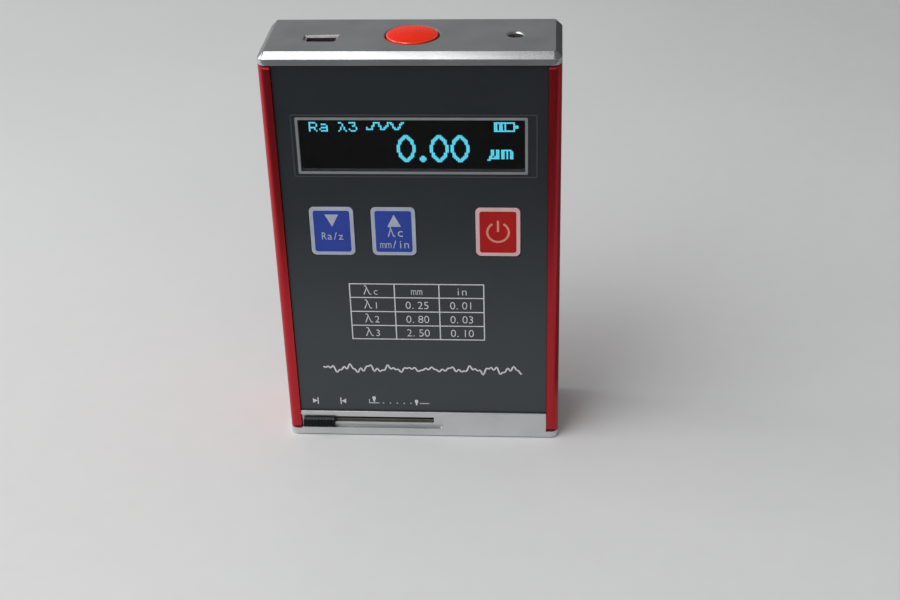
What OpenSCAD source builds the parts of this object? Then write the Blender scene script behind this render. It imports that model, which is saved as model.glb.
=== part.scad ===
// Pocket surface roughness tester
// A red metal sleeve, closed by two metal caps, holds a display, three keys and a small drive.
// The drive pulls a stylus pick-up along a window in the base, which a sliding door closes.
// X runs to the right, Y from front to back, Z up. The origin is the middle of the base face.
// All sizes are in millimetres.

/* [Body] */
// Width of the body
body_w = 70; // [68:0.5:80]
// Depth of the body from front to back
body_d = 24; // [23:0.5:30]
// Height of the body from the base face to the top face
body_h = 106; // [102:1:125]
// Corner radius of the body seen from above
corner_r = 2; // [2:0.25:4]
// Wall of the sleeve at the sides and the back
wall = 1.5; // [1.2:0.1:2]
// Wall of the sleeve behind the front film
front_wall = 1.3; // [1:0.1:1.6]
// Width of each rail beside the front film
rail_w = 3; // [2.5:0.25:4]
// Chamfer across the front of each rail's ends
rail_chamfer = 0.9; // [0.3:0.1:1.2]
// Depth of the channel between the rails
channel_depth = 1.2; // [0.8:0.1:1.6]
// Thickness of the front film
film_t = 0.5; // [0.3:0.1:0.7]

/* [Caps] */
// Visible thickness of the top cap
cap_t = 3; // [2.5:0.1:4]
// Chamfer round the top cap
cap_chamfer = 1.5; // [0.5:0.1:1.8]
// Chamfer round the button's and the lamp's holes
hole_chamfer = 0.4; // [0.1:0.1:0.6]
// Thickness of the base plate
base_t = 2; // [2:0.1:3]
// Chamfer round the base face
base_chamfer = 0.4; // [0.2:0.1:0.8]
// Height of the front lip's top edge above the base face
lip_top = 7.5; // [7:0.25:9]
// Thickness of the front lip
lip_t = 1.5; // [1.2:0.1:1.8]
// Chamfer along the lip's top edge
lip_chamfer = 0.2; // [0.2:0.1:0.8]
// Height of the tongues that hold the caps in the sleeve
tongue_h = 6; // [5:0.5:8]
// Thickness of the tongues
tongue_t = 1.8; // [1.4:0.1:2.2]
// Distance of the back screws from the sides
screw_inset = 8; // [7:0.5:15]

/* [Display] */
// Distance of the display's middle below the top face
display_drop = 23.2; // [20:0.2:26]
// Width of the clear window
view_w = 52.9; // [40:0.1:54]
// Height of the clear window
view_h = 13; // [10:0.1:13.6]
// Width of the display glass
oled_w = 57.4; // [56:0.2:58]
// Height of the display glass
oled_h = 15.2; // [14.6:0.2:18]
// Thickness of the display glass
oled_t = 1.6; // [1.4:0.1:2]
// Thickness of the lens flange behind the film
lens_flange_t = 0.5; // [0.3:0.1:0.7]

/* [Keys] */
// Distance of the key row's middle below the top face
key_drop = 45.9; // [44:0.2:50]
// Width of a key
key_w = 10.8; // [9:0.2:11.6]
// Height of a key
key_h = 13.1; // [10:0.1:14]
// Corner radius of a key
key_r = 1.3; // [0.5:0.1:2]
// Distance of the first key's middle from the left side
key_down_inset = 14.7; // [13:0.1:15]
// Distance between the middles of the first two keys
key_pitch = 15; // [14.7:0.1:17.3]
// Distance of the power key's middle from the right side
key_power_inset = 15; // [13:0.1:23]
// Travel of a key
key_travel = 0.4; // [0.2:0.05:0.5]

/* [Top row] */
// Diameter of the start button
button_d = 12.2; // [10:0.1:12.6]
// Height of the button's dome above the top face
button_rise = 0.8; // [0.3:0.1:1.5]
// Travel of the start button
button_travel = 0.8; // [0.4:0.1:1]
// Distance of the charging socket's middle from the left side
socket_inset = 13.8; // [11:0.1:21]
// Distance of the status lamp's middle from the right side
lamp_inset = 10.8; // [9:0.1:21]
// Diameter of the status lamp
lamp_d = 3; // [2.6:0.1:3.4]

/* [Door] */
// Width of the door knob
knob_w = 8.2; // [8:0.1:9]
// Height of the door knob
knob_h = 2.3; // [2:0.1:2.8]
// Height of the knob's middle above the base face
knob_z = 4; // [4:0.1:4.4]
// How far the knob stands out of the front
knob_proud = 0.7; // [0.3:0.1:1.2]
// Grip grooves across the knob
knob_grooves = 9; // [5:1:11]
// Travel of the door
door_travel = 26; // [20:0.5:26]
// Thickness of the door plate
door_t = 0.8; // [0.5:0.1:0.9]
// Height of the slot that the door's stem runs in
slot_h = 1.6; // [1.2:0.1:1.8]

/* [Drive] */
// Distance of the tracing start from the left side
trace_inset = 7.7; // [7.6:0.1:8.2]
// Tracing length
trace_l = 6; // [4:0.5:6]
// Height of the lead screw's axis
screw_z = 17; // [16.5:0.25:18]
// Diameter of the lead screw
lead_d = 4; // [3.2:0.1:4]
// Diameter of a guide rod
rod_d = 2.5; // [2:0.1:2.6]
// Angle that the closed door lifts the pick-up by
lift = 13; // [12:0.5:15]
// Length of the pick-up from its hinge to the stylus
pickup_arm = 14.8; // [14:0.1:15]

/* [Hidden] */
$fn = 64;

// Clearances
past = 1;             // how far a cut runs past the face it opens
fit = 0.1;            // gap round a piece that drops into an opening
slide_fit = 0.15;     // gap round a piece that slides
run_fit = 0.05;       // radial gap of a shaft that turns or slides in a bore
press_fit = 0.02;     // radial gap of a rod or screw that is held fast
press_gap = 0.1;      // gap left between a plunger and its switch when pressed

// Sleeve
face_y = -body_d / 2;
back_y = body_d / 2;
cap_z = body_h - cap_t;
in_x = body_w / 2 - wall;
in_back = back_y - wall;
channel_y = face_y + channel_depth;
in_front = channel_y + front_wall;
least_r = 0.3;
in_r = max(corner_r - wall, least_r);
panel_hw = body_w / 2 - rail_w;
film_y = channel_y - film_t;

// Caps
screw_x = body_w / 2 - screw_inset;
tongue_end = 3;
tongue_hw = screw_x + tongue_end;
tongue_y0 = in_back - fit - tongue_t;
lip_hw = panel_hw - fit;
lip_y = face_y + lip_t;
screw_d = 2;
screw_head_d = 3.8;
screw_head_h = (screw_head_d - screw_d) / 2;
screw_cross = [2.2, 0.5, 0.6];
screw_rows = [base_t + (lip_top - base_t) / 2, cap_z - tongue_h / 2];

// Display stack, from the film to the main board
display_z = body_h - display_drop;
oled_y = channel_y + lens_flange_t;
oled_r = 0.6;
oled_board_t = 1.2;
oled_board_y = oled_y + oled_t;
oled_board_low = 10.5;
oled_board_high = 12;
spacer_l = 1.7;
spacer_d = 3;
spacer_inset = 2;
header_w = 20;
header_h = 2;
board_t = 1.6;
board_y = oled_board_y + oled_board_t + spacer_l;
board_back = board_y + board_t;

// Main board, held between ribs along the sleeve's sides
rib_l = 1.2;
rib_t = 0.8;
board_hw = in_x - rib_l / 2;
oled_board_gap = 2.3;
oled_board_hw = in_x - rib_l - oled_board_gap;
board_drop = 2.5;
board_top = cap_z - board_drop;
frame_rise = 10;
frame_top = screw_z + frame_rise;
chip_r = 0.3;
// Processor, converter, regulator and charger: [x, distance below the display, width, height, thickness]
chips = [[-8, 30, 10, 10, 1.4], [8, 28, 6, 5, 1.2], [-20, 14, 4, 4, 1], [16, 42, 7, 5, 1.6]];

// Keys
key_down_x = -body_w / 2 + key_down_inset;
key_up_x = key_down_x + key_pitch;
key_power_x = body_w / 2 - key_power_inset;
key_xs = [key_down_x, key_up_x, key_power_x];
key_z = body_h - key_drop;
key_proud = 0.12;
key_face_y = film_y - key_proud;
key_lap = 0.8;
key_flange_t = 0.8;
key_nub_d = 4;
key_switch_w = 5.2;
key_switch_r = 0.5;
key_switch_h = 1.7;
key_plunger_h = 0.7;
key_plunger_d = 2.8;
key_nub_y = board_y - key_switch_h - press_gap - key_travel;

// Start button, socket and lamp, in a row on the middle of the top face
row_y = 0;
button_gap = 0.2;
button_edge = 0.2;
button_flange_t = 1;
button_lap = 1;
button_flange_d = button_d + 2 * button_lap;
button_stem_d = 5;
button_stem_l = 3.5;
button_low = cap_z - button_flange_t - button_stem_l;
switch_top = button_low - button_travel - press_gap;
switch_plunger_h = 1;
switch_plunger_d = 3.4;
switch_body = [6, 2.6, 3.6];
socket_w = 7.7;
socket_d = 3.9;
socket_l = 9.2;
socket_corner = 1;
socket_wall = 0.4;
socket_depth = 7;
socket_gap = 0.25;
socket_x = -body_w / 2 + socket_inset;
socket_sink = 0.5;
socket_top = body_h - socket_sink;
socket_y = board_back + socket_d / 2;
blade_w = 4.4;
blade_t = 1;
blade_l = 5.5;
lamp_gap = 0.25;
lamp_x = body_w / 2 - lamp_inset;
lamp_sink = 0.7;
lamp_l = 5.8;
lamp_top = body_h - lamp_sink;
lamp_low = lamp_top - lamp_l;
lamp_flange_t = 0.8;
lamp_flange_d = lamp_d + 0.8;
holder_side = 0.5;
holder_hw = lamp_flange_d / 2 + holder_side;
holder_h = 4;

// Pick-up, measured with it let down on the surface
trace_x = -body_w / 2 + trace_inset;
pin_x = trace_x + pickup_arm;
pin_z = 8;
pin_d = 1.5;
pickup_hw = 3;
pickup_z0 = 2.6;
pickup_z1 = 7.6;
pickup_nose = 2;
pickup_x0 = trace_x - pickup_nose;
pickup_boss_d = 5;
pickup_side = 1;
pickup_gap = 0.2;
tip_z = -0.2;
tip_h = 0.5;
tip_end_d = 0.05;
skid_z = -0.1;
skid_r = 5;
skid_hw = 1.5;
skid_front = 1.3;
skid_rear = 2.7;
skid_x0 = trace_x - skid_front;
skid_x1 = trace_x + skid_rear;
skid_flange_t = 0.6;
skid_lap = 0.4;
skid_hole_d = 1.6;
needle_d = 0.8;
arm_t = 1;
arm_hw = 0.6;
arm_z = 4.5;
arm_l = 10.3;
arm_pivot_x = trace_x + arm_l;
trunnion_d = 1;
hollow_top = 6.4;
hollow_end = 2;
piezo_t = 0.9;
piezo_hw = 1;
piezo_l = 7;
piezo_gap = 1;
piezo_x0 = arm_pivot_x - piezo_gap - piezo_l;
spring_t = 0.2;
spring_hw = 1.5;
spring_gap = 0.3;
spring_root = 3.5;
spring_reach = 4.3;
spring_touch = raised_point(trace_x + spring_reach, pickup_z1);

// Door and its slot
knob_x = trace_x;
door_gap = 0.1;
door_sink = 0.5;
pocket_end = 0.3;
pocket_side = 0.2;
door_z1 = base_t - door_sink;
door_z0 = door_z1 - door_t;
pocket_z = door_z0 - door_gap;
window_gap = 0.8;
window_x0 = skid_x0 - window_gap;
window_x1 = skid_x1 + trace_l + window_gap;
window_hy = skid_hw + window_gap;
window_r = 0.8;
door_lap = 0.5;
door_side_lap = 1.5;
door_hy = window_hy + door_side_lap;
door_x0 = knob_x - knob_w / 2;
door_x1 = window_x1 + door_lap;
stem_inset = 0.2;
stem_x0 = knob_x - knob_w / 2 + stem_inset;
stem_x1 = knob_x + knob_w / 2 - stem_inset;
slot_rise = 0.5;
slot_z = knob_z + slot_rise;
slot_x0 = stem_x0 - door_gap;
slot_x1 = stem_x1 + door_travel + door_gap;
stem_z0 = slot_z - slot_h / 2 + door_gap;
stem_wall = 0.35;
stem_z1 = min(slot_z + slot_h / 2 - door_gap, knob_z + knob_h / 2 - stem_wall);
riser_t = 0.8;
riser_y0 = lip_y + pocket_side;
riser_y1 = riser_y0 + riser_t;
strip_lap = 0.4;
strip_x1 = slot_x1 + strip_lap;
strip_z0 = slot_z - slot_h / 2 - strip_lap;
strip_z1 = slot_z + slot_h / 2 + strip_lap;
recess_depth = 0.9;
recess_r = 0.9;
recess_low = 0.4;
recess_high = 1;
recess_end = 2.3;
recess_z0 = knob_z - knob_h / 2 - recess_low;
recess_z1 = slot_z + slot_h / 2 + recess_high;
recess_x1 = knob_x + knob_w / 2 + door_travel + recess_end;
knob_y0 = face_y - knob_proud;
knob_y1 = face_y + recess_depth - door_gap;
knob_r = 0.4;
knob_cap = 0.5;
groove_d = 0.5;

// Drive frame and motor
frame_t = 1.5;
motor_wall_t = 2;
frame_low = 9.5;
frame_floor = frame_low + frame_t;
frame_hy = 8;
frame_gap = 0.7;
frame_side_gap = 0.2;
frame_back = in_back - frame_gap;
frame_x0 = -(in_x - rib_l - frame_side_gap);
motor_x1 = in_x - rib_l - frame_side_gap;
motor_l = 15;
gear_l = 9;
motor_w = 10;
motor_h = 2 * (screw_z - frame_floor);
motor_top = frame_floor + motor_h;
gear_x0 = motor_x1 - motor_l - gear_l;
motor_end_d = 5;
motor_end_l = 1.2;
gear_plate_t = 1;
gear_cut = 1.5;
gear_post = 2;
motor_wall_x = gear_x0 - motor_wall_t;
shaft_d = 3;
shaft_boss = [4.2, 0.7];
strap_t = 0.6;
strap_w = 6;
post_d = 3.4;
post_y = 7.2;
post_xs = [gear_x0 + gear_l / 2, motor_x1 - motor_l / 2];
drive_screw_d = 1.6;
drive_head_d = 3;
drive_head_h = 1.2;
drive_screw_l = 5;

// Lead screw, carriage and guide rods
bush_d = 6.4;
journal_d = 3;
coupling_d = 6.4;
coupling_l = 5.4;
coupling_x0 = motor_wall_x - frame_side_gap - coupling_l;
coupling_mid = coupling_x0 + coupling_l / 2;
carriage_l = 9;
carriage_lead = 5;
carriage_gap = 0.5;
carriage_low = 4;
carriage_high = 4.5;
carriage_x0 = pin_x - carriage_lead;
carriage_hw = frame_back - frame_t - carriage_gap;
carriage_z0 = screw_z - carriage_low;
carriage_z1 = screw_z + carriage_high;
rod_inset = 2.3;
rod_y = carriage_hw - rod_inset;
nut_d = 6;
ear_t = 1;
ear_hw = 2.5;

// Battery
battery_w = 52;
battery_h = 40;
battery_t = 6;
battery_r = 2;
pad_t = 0.5;
pad_w = 40;
pad_h = 30;
battery_y = in_back - pad_t - battery_t;
battery_rise = 3;
battery_z = frame_top + battery_rise + battery_h / 2;

// Where a point of the let-down pick-up lies when the door lifts it, as [x, z]
function raised_point(x, z) = [
    pin_x + (x - pin_x) * cos(lift) + (z - pin_z) * sin(lift),
    pin_z - (x - pin_x) * sin(lift) + (z - pin_z) * cos(lift)
];

// Shared shapes
module span(low, high) {
    translate(low) cube(high - low);
}

module rod_along_x(x0, x1, d, y, z) {
    translate([x0, y, z]) rotate([0, 90, 0]) cylinder(h = x1 - x0, d = d);
}

module rod_along_y(y0, y1, d, x, z) {
    translate([x, y0, z]) rotate([-90, 0, 0]) cylinder(h = y1 - y0, d = d);
}

module rod_along_z(z0, z1, d, x, y) {
    translate([x, y, z0]) cylinder(h = z1 - z0, d = d);
}

// A profile drawn as [y, z] and drawn out along X
module prism_x(x0, x1) {
    translate([x0, 0, 0]) rotate([90, 0, 90]) linear_extrude(x1 - x0) children();
}

// A profile drawn as [x, z] and drawn out along Y
module prism_y(y0, y1) {
    translate([0, y1, 0]) rotate([90, 0, 0]) linear_extrude(y1 - y0) children();
}

module rounded_rect(w, h, r) {
    square([w - 2 * r, h], center = true);
    square([w, h - 2 * r], center = true);
    for (sx = [-1, 1], sy = [-1, 1])
        translate([sx * (w / 2 - r), sy * (h / 2 - r)]) circle(r);
}

// An upright plate with round corners, its face at y0 and its middle at x, z
module panel(w, h, r, x, z, y0, y1) {
    prism_y(y0, y1) translate([x, z]) rounded_rect(w, h, r);
}

// A plate with round corners and a chamfer round its top face
module chamfered_plate(w, d, h, r, c) {
    linear_extrude(h - c) rounded_rect(w, d, r);
    translate([0, 0, h - c]) {
        prism_x(-w / 2 + r, w / 2 - r)
            polygon([[-d / 2, 0], [d / 2, 0], [d / 2 - c, c], [-d / 2 + c, c]]);
        prism_y(-d / 2 + r, d / 2 - r)
            polygon([[-w / 2, 0], [w / 2, 0], [w / 2 - c, c], [-w / 2 + c, c]]);
        for (sx = [-1, 1], sy = [-1, 1])
            translate([sx * (w / 2 - r), sy * (d / 2 - r), 0]) cylinder(h = c, r1 = r, r2 = r - c);
    }
}

// A countersunk screw through the back, its head flush with the back face
module countersunk(x, z, y0, gap) {
    head_y = back_y - screw_head_h;
    rod_along_y(y0, back_y - screw_head_h / 2, screw_d + 2 * gap, x, z);
    translate([x, head_y, z])
        rotate([-90, 0, 0])
            cylinder(h = screw_head_h, d1 = screw_d + 2 * gap, d2 = screw_head_d + 2 * gap);
}

module back_screw_holes(z) {
    for (sx = [-1, 1])
        rod_along_y(tongue_y0 - past, in_back + past, screw_d + 2 * press_fit, sx * screw_x, z);
}

// The pick-up as the closed door holds it, swung up about its hinge pin
module raised() {
    translate([pin_x, 0, pin_z]) rotate([0, lift, 0]) translate([-pin_x, 0, -pin_z]) children();
}

// Case

module sleeve_section() {
    difference() {
        rounded_rect(body_w, body_d, corner_r);
        translate([0, (in_front + in_back) / 2]) rounded_rect(2 * in_x, in_back - in_front, in_r);
        translate([-panel_hw, face_y - past]) square([2 * panel_hw, channel_depth + past]);
    }
    for (sx = [-1, 1], y = [board_y - fit - rib_t, board_back + fit])
        translate([sx * (in_x - rib_l / 2 + wall / 4), y + rib_t / 2])
            square([rib_l + wall / 2, rib_t], center = true);
}

// What a chamfer across the front takes off the rails at one end; way is 1 at the top end
module rail_end_cut(end_z, way) {
    reach = rail_chamfer + past;
    prism_x(-body_w / 2 - past, body_w / 2 + past) polygon([
        [face_y - past, end_z - way * reach], [face_y + reach, end_z + way * past],
        [face_y - past, end_z + way * past]
    ]);
}

module case_sleeve() {
    color("firebrick") difference() {
        translate([0, 0, base_t]) linear_extrude(cap_z - base_t) sleeve_section();
        panel(oled_w + 2 * fit, oled_h + 2 * fit, oled_r, 0, display_z, face_y, in_front + fit);
        for (x = key_xs)
            panel(key_w + 2 * slide_fit, key_h + 2 * slide_fit, key_r, x, key_z, face_y, in_front + fit);
        span([-panel_hw, face_y - past, base_t - past], [panel_hw, in_front + fit, lip_top + fit]);
        rail_end_cut(cap_z, 1);
        rail_end_cut(base_t, -1);
        for (sx = [-1, 1], z = screw_rows) countersunk(sx * screw_x, z, in_back - past, press_fit);
    }
}

module socket_outline(grow) {
    hw = socket_w / 2 + grow;
    hd = socket_d / 2 + grow;
    polygon([
        [-hw, hd], [hw, hd], [hw, -hd + socket_corner],
        [hw - socket_corner, -hd], [-hw + socket_corner, -hd], [-hw, -hd + socket_corner]
    ]);
}

// A hole through the top cap with a chamfered mouth
module cap_hole(d, x) {
    rod_along_z(cap_z - past, body_h + past, d, x, row_y);
    translate([x, row_y, body_h - hole_chamfer])
        cylinder(h = hole_chamfer + past, d1 = d, d2 = d + 2 * (hole_chamfer + past));
}

module top_cap() {
    color("silver") difference() {
        union() {
            translate([0, 0, cap_z]) chamfered_plate(body_w, body_d, cap_t, corner_r, cap_chamfer);
            span([-tongue_hw, tongue_y0, cap_z - tongue_h], [tongue_hw, in_back - fit, cap_z + fit]);
            span(
                [-tongue_hw, in_front + fit, cap_z - tongue_h / 2],
                [tongue_hw, in_front + tongue_t, cap_z + fit]
            );
        }
        cap_hole(button_d + 2 * button_gap, 0);
        cap_hole(lamp_d + 2 * lamp_gap, lamp_x);
        translate([socket_x, socket_y, cap_z - past])
            linear_extrude(cap_t + 2 * past) socket_outline(socket_gap);
        back_screw_holes(screw_rows[1]);
    }
}

module bottom_cap() {
    color("silver") difference() {
        union() {
            translate([0, 0, base_t]) mirror([0, 0, 1])
                chamfered_plate(body_w, body_d, base_t, corner_r, base_chamfer);
            prism_x(-lip_hw, lip_hw) polygon([
                [face_y, base_t - fit], [lip_y, base_t - fit], [lip_y, lip_top],
                [face_y + lip_chamfer, lip_top], [face_y, lip_top - lip_chamfer]
            ]);
            span([-tongue_hw, tongue_y0, base_t - fit], [tongue_hw, in_back - fit, lip_top]);
            for (x = post_xs, sy = [-1, 1])
                rod_along_z(base_t - fit, frame_low, post_d, x, sy * post_y);
        }
        // Pocket that the door plate and its tongue slide in
        span(
            [door_x0 - pocket_end, -door_hy - pocket_side, pocket_z],
            [door_x1 + door_travel + pocket_end, door_hy + pocket_side, base_t + past]
        );
        span([slot_x0, lip_y, pocket_z], [slot_x1, -door_hy, base_t + past]);
        // Stylus window through the base
        translate([(window_x0 + window_x1) / 2, 0, -past])
            linear_extrude(base_t + 2 * past) rounded_rect(window_x1 - window_x0, 2 * window_hy, window_r);
        // Recess round the knob, open at the left end of the lip, and the slot through its floor
        panel(
            recess_x1 + lip_hw + past, recess_z1 - recess_z0, recess_r,
            (recess_x1 - lip_hw - past) / 2, (recess_z0 + recess_z1) / 2, face_y - past, face_y + recess_depth
        );
        span([slot_x0, face_y - past, slot_z - slot_h / 2], [slot_x1, lip_y + past, slot_z + slot_h / 2]);
        for (x = post_xs, sy = [-1, 1])
            rod_along_z(
                frame_low - drive_screw_l, frame_low + past, drive_screw_d + 2 * press_fit, x, sy * post_y
            );
        back_screw_holes(screw_rows[0]);
    }
}

module back_screws() {
    color("dimgray")
        for (sx = [-1, 1], z = screw_rows)
            difference() {
                countersunk(sx * screw_x, z, tongue_y0, 0);
                translate([sx * screw_x, back_y, z])
                    for (turn = [0, 90])
                        rotate([0, turn, 0])
                            cube([screw_cross[0], 2 * screw_cross[2], screw_cross[1]], center = true);
            }
}

// Front

module front_film() {
    color("darkslategray") difference() {
        span([-lip_hw, film_y, lip_top + fit], [lip_hw, channel_y, cap_z - fit]);
        panel(view_w + 2 * press_fit, view_h + 2 * press_fit, oled_r, 0, display_z, face_y, channel_y + past);
        for (x = key_xs)
            panel(key_w + 2 * slide_fit, key_h + 2 * slide_fit, key_r, x, key_z, face_y, channel_y + past);
    }
}

module display_lens() {
    color("lightcyan", 0.4) {
        panel(view_w, view_h, oled_r, 0, display_z, film_y, oled_y);
        panel(oled_w, oled_h, oled_r, 0, display_z, channel_y, oled_y);
    }
}

module oled_glass() {
    color("black") panel(oled_w, oled_h, oled_r, 0, display_z, oled_y, oled_board_y);
}

module oled_board() {
    color("darkgreen")
        span(
            [-oled_board_hw, oled_board_y, display_z - oled_board_low],
            [oled_board_hw, oled_board_y + oled_board_t, display_z + oled_board_high]
        );
}

module display_spacers() {
    color("goldenrod")
        for (sx = [-1, 1], z = [spacer_inset - oled_board_low, oled_board_high - spacer_inset])
            rod_along_y(
                board_y - spacer_l, board_y, spacer_d, sx * (oled_board_hw - spacer_inset), display_z + z
            );
}

module display_header() {
    header_z = display_z + oled_board_high - spacer_inset;
    color("black")
        span(
            [-header_w / 2, board_y - spacer_l, header_z - header_h / 2],
            [header_w / 2, board_y, header_z + header_h / 2]
        );
}

module main_board() {
    color("darkgreen") span([-board_hw, board_y, frame_top], [board_hw, board_back, board_top]);
}

module board_chips() {
    color("black")
        for (chip = chips)
            panel(chip[2], chip[3], chip_r, chip[0], display_z - chip[1], board_back, board_back + chip[4]);
}

module key_switches() {
    color("gray")
        for (x = key_xs) {
            panel(
                key_switch_w, key_switch_w, key_switch_r, x, key_z,
                board_y - key_switch_h + key_plunger_h, board_y
            );
            rod_along_y(board_y - key_switch_h, board_y - fit, key_plunger_d, x, key_z);
        }
}

module key_cap(x) {
    flange_y = in_front + key_flange_t;
    panel(key_w, key_h, key_r, x, key_z, key_face_y, flange_y);
    panel(key_w + 2 * key_lap, key_h + 2 * key_lap, key_r, x, key_z, in_front, flange_y);
    rod_along_y(flange_y - fit, key_nub_y, key_nub_d, x, key_z);
}

module key_down() {
    color("mediumblue") key_cap(key_down_x);
}

module key_up() {
    color("mediumblue") key_cap(key_up_x);
}

module key_power() {
    color("crimson") key_cap(key_power_x);
}

// Top row

module start_button() {
    half = button_d / 2;
    crown = button_rise - button_edge;
    dome_r = (half * half + crown * crown) / (2 * crown);
    color("orangered") {
        intersection() {
            rod_along_z(cap_z - button_flange_t, body_h + button_rise + past, button_d, 0, row_y);
            translate([0, row_y, body_h + button_rise - dome_r]) sphere(r = dome_r, $fn = 128);
        }
        rod_along_z(cap_z - button_flange_t, cap_z, button_flange_d, 0, row_y);
        rod_along_z(button_low, cap_z - button_flange_t + fit, button_stem_d, 0, row_y);
    }
}

module start_switch() {
    body_top = switch_top - switch_plunger_h;
    color("gray") {
        span(
            [-switch_body[0] / 2, board_back, body_top - switch_body[2]],
            [switch_body[0] / 2, row_y + switch_body[1], body_top]
        );
        rod_along_z(body_top - fit, switch_top, switch_plunger_d, 0, row_y);
    }
}

module charge_socket() {
    color("lightgray")
        translate([socket_x, socket_y, socket_top - socket_l]) difference() {
            linear_extrude(socket_l) socket_outline(0);
            translate([0, 0, socket_l - socket_depth])
                linear_extrude(socket_depth + past) socket_outline(-socket_wall);
        }
}

module socket_contacts() {
    floor_z = socket_top - socket_depth;
    color("black")
        span(
            [socket_x - blade_w / 2, socket_y, floor_z],
            [socket_x + blade_w / 2, socket_y + blade_t, floor_z + blade_l]
        );
}

module status_lamp() {
    color("palegreen") {
        rod_along_z(lamp_low, lamp_top - lamp_d / 2, lamp_d, lamp_x, row_y);
        rod_along_z(lamp_low, lamp_low + lamp_flange_t, lamp_flange_d, lamp_x, row_y);
        translate([lamp_x, row_y, lamp_top - lamp_d / 2]) sphere(d = lamp_d);
    }
}

module lamp_holder() {
    color("black")
        span(
            [lamp_x - holder_hw, board_back, lamp_low - holder_h],
            [lamp_x + holder_hw, row_y + holder_hw, lamp_low]
        );
}

// Battery

module battery() {
    color("lightsteelblue")
        panel(battery_w, battery_h, battery_r, 0, battery_z, battery_y, battery_y + battery_t);
}

module battery_pad() {
    color("white") panel(pad_w, pad_h, battery_r, 0, battery_z, in_back - pad_t, in_back);
}

// Door

module door_plate() {
    color("dimgray") {
        span([door_x0, -door_hy, door_z0], [door_x1, door_hy, door_z1]);
        // Tongue, riser and stem, one bent strip from the plate to the knob
        prism_x(stem_x0, stem_x1) polygon([
            [-door_hy + fit, door_z0], [-door_hy + fit, door_z1], [riser_y1, door_z1],
            [riser_y1, stem_z1], [knob_y0 + knob_cap, stem_z1], [knob_y0 + knob_cap, stem_z0],
            [riser_y0, stem_z0], [riser_y0, door_z0]
        ]);
        // Strip behind the lip that keeps dust out of the slot
        span([stem_x1 - fit, riser_y0, strip_z0], [strip_x1, riser_y1, strip_z1]);
    }
}

module door_knob() {
    pitch = (knob_w - 2 * knob_r) / knob_grooves;
    color("black") difference() {
        panel(knob_w, knob_h, knob_r, knob_x, knob_z, knob_y0, knob_y1);
        span(
            [stem_x0 - press_fit, knob_y0 + knob_cap - press_fit, stem_z0 - press_fit],
            [stem_x1 + press_fit, knob_y1 + past, stem_z1 + press_fit]
        );
        for (i = [0:knob_grooves - 1])
            rod_along_z(
                knob_z - knob_h / 2 - past, knob_z + knob_h / 2 + past, groove_d,
                knob_x + (i - (knob_grooves - 1) / 2) * pitch, knob_y0
            );
    }
}

// Drive

module drive_frame() {
    color("gainsboro") difference() {
        union() {
            span([frame_x0, -frame_hy, base_t], [frame_x0 + frame_t, frame_back, frame_top]);
            span([frame_x0, frame_back - frame_t, frame_low], [gear_x0, frame_back, frame_top]);
            span([motor_wall_x, -frame_hy, frame_low], [gear_x0, frame_back, frame_top]);
            span(
                [motor_wall_x, -post_y - post_d / 2, frame_low],
                [motor_x1, post_y + post_d / 2, frame_floor]
            );
        }
        for (sy = [-1, 1])
            rod_along_x(frame_x0 - past, gear_x0 + past, rod_d + 2 * press_fit, sy * rod_y, screw_z);
        rod_along_x(frame_x0 - past, frame_x0 + frame_t + past, bush_d + 2 * press_fit, 0, screw_z);
        rod_along_x(motor_wall_x - past, gear_x0 + past, shaft_boss[0] + 2 * fit, 0, screw_z);
        for (x = post_xs, sy = [-1, 1])
            rod_along_z(frame_low - past, frame_floor + past, drive_screw_d + 2 * fit, x, sy * post_y);
    }
}

module gearbox() {
    color("goldenrod") difference() {
        union() {
            span([gear_x0, -motor_w / 2, frame_floor], [gear_x0 + gear_l, motor_w / 2, motor_top]);
            rod_along_x(gear_x0 - shaft_boss[1], gear_x0 + fit, shaft_boss[0], 0, screw_z);
        }
        // Gaps between the three gear plates, at both sides
        for (x = [gear_x0 + gear_plate_t, gear_x0 + (gear_l + gear_plate_t) / 2], sy = [-1, 1])
            span(
                [x, sy * motor_w / 2 - gear_cut, frame_floor + gear_post],
                [x + (gear_l - 3 * gear_plate_t) / 2, sy * motor_w / 2 + gear_cut, motor_top - gear_post]
            );
        rod_along_x(gear_x0 - past, gear_x0 + shaft_d, shaft_d + 2 * run_fit, 0, screw_z);
    }
}

module motor_can() {
    x0 = gear_x0 + gear_l;
    color("silver") {
        intersection() {
            rod_along_x(x0, motor_x1 - motor_end_l, motor_h, 0, screw_z);
            span([x0, -motor_w / 2, frame_floor], [motor_x1, motor_w / 2, motor_top]);
        }
        rod_along_x(motor_x1 - motor_end_l - fit, motor_x1, motor_end_d, 0, screw_z);
    }
}

module motor_strap() {
    inner = motor_w / 2 + press_gap;
    outer = inner + strap_t;
    foot = post_y + post_d / 2;
    top = motor_top + press_gap;
    x = post_xs[1];
    color("silver") difference() {
        prism_x(x - strap_w / 2, x + strap_w / 2) polygon([
            [-foot, frame_floor], [-foot, frame_floor + strap_t], [-outer, frame_floor + strap_t],
            [-outer, top + strap_t], [outer, top + strap_t], [outer, frame_floor + strap_t],
            [foot, frame_floor + strap_t], [foot, frame_floor], [inner, frame_floor], [inner, top],
            [-inner, top], [-inner, frame_floor]
        ]);
        for (sy = [-1, 1])
            rod_along_z(frame_floor - past, frame_floor + past, drive_screw_d + 2 * fit, x, sy * post_y);
    }
}

module guide_rods() {
    color("lightgray")
        for (sy = [-1, 1]) rod_along_x(frame_x0, gear_x0 - fit, rod_d, sy * rod_y, screw_z);
}

module screw_bush() {
    color("goldenrod") difference() {
        rod_along_x(frame_x0, frame_x0 + frame_t, bush_d, 0, screw_z);
        rod_along_x(frame_x0 - past, frame_x0 + frame_t + past, journal_d + 2 * run_fit, 0, screw_z);
    }
}

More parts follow.
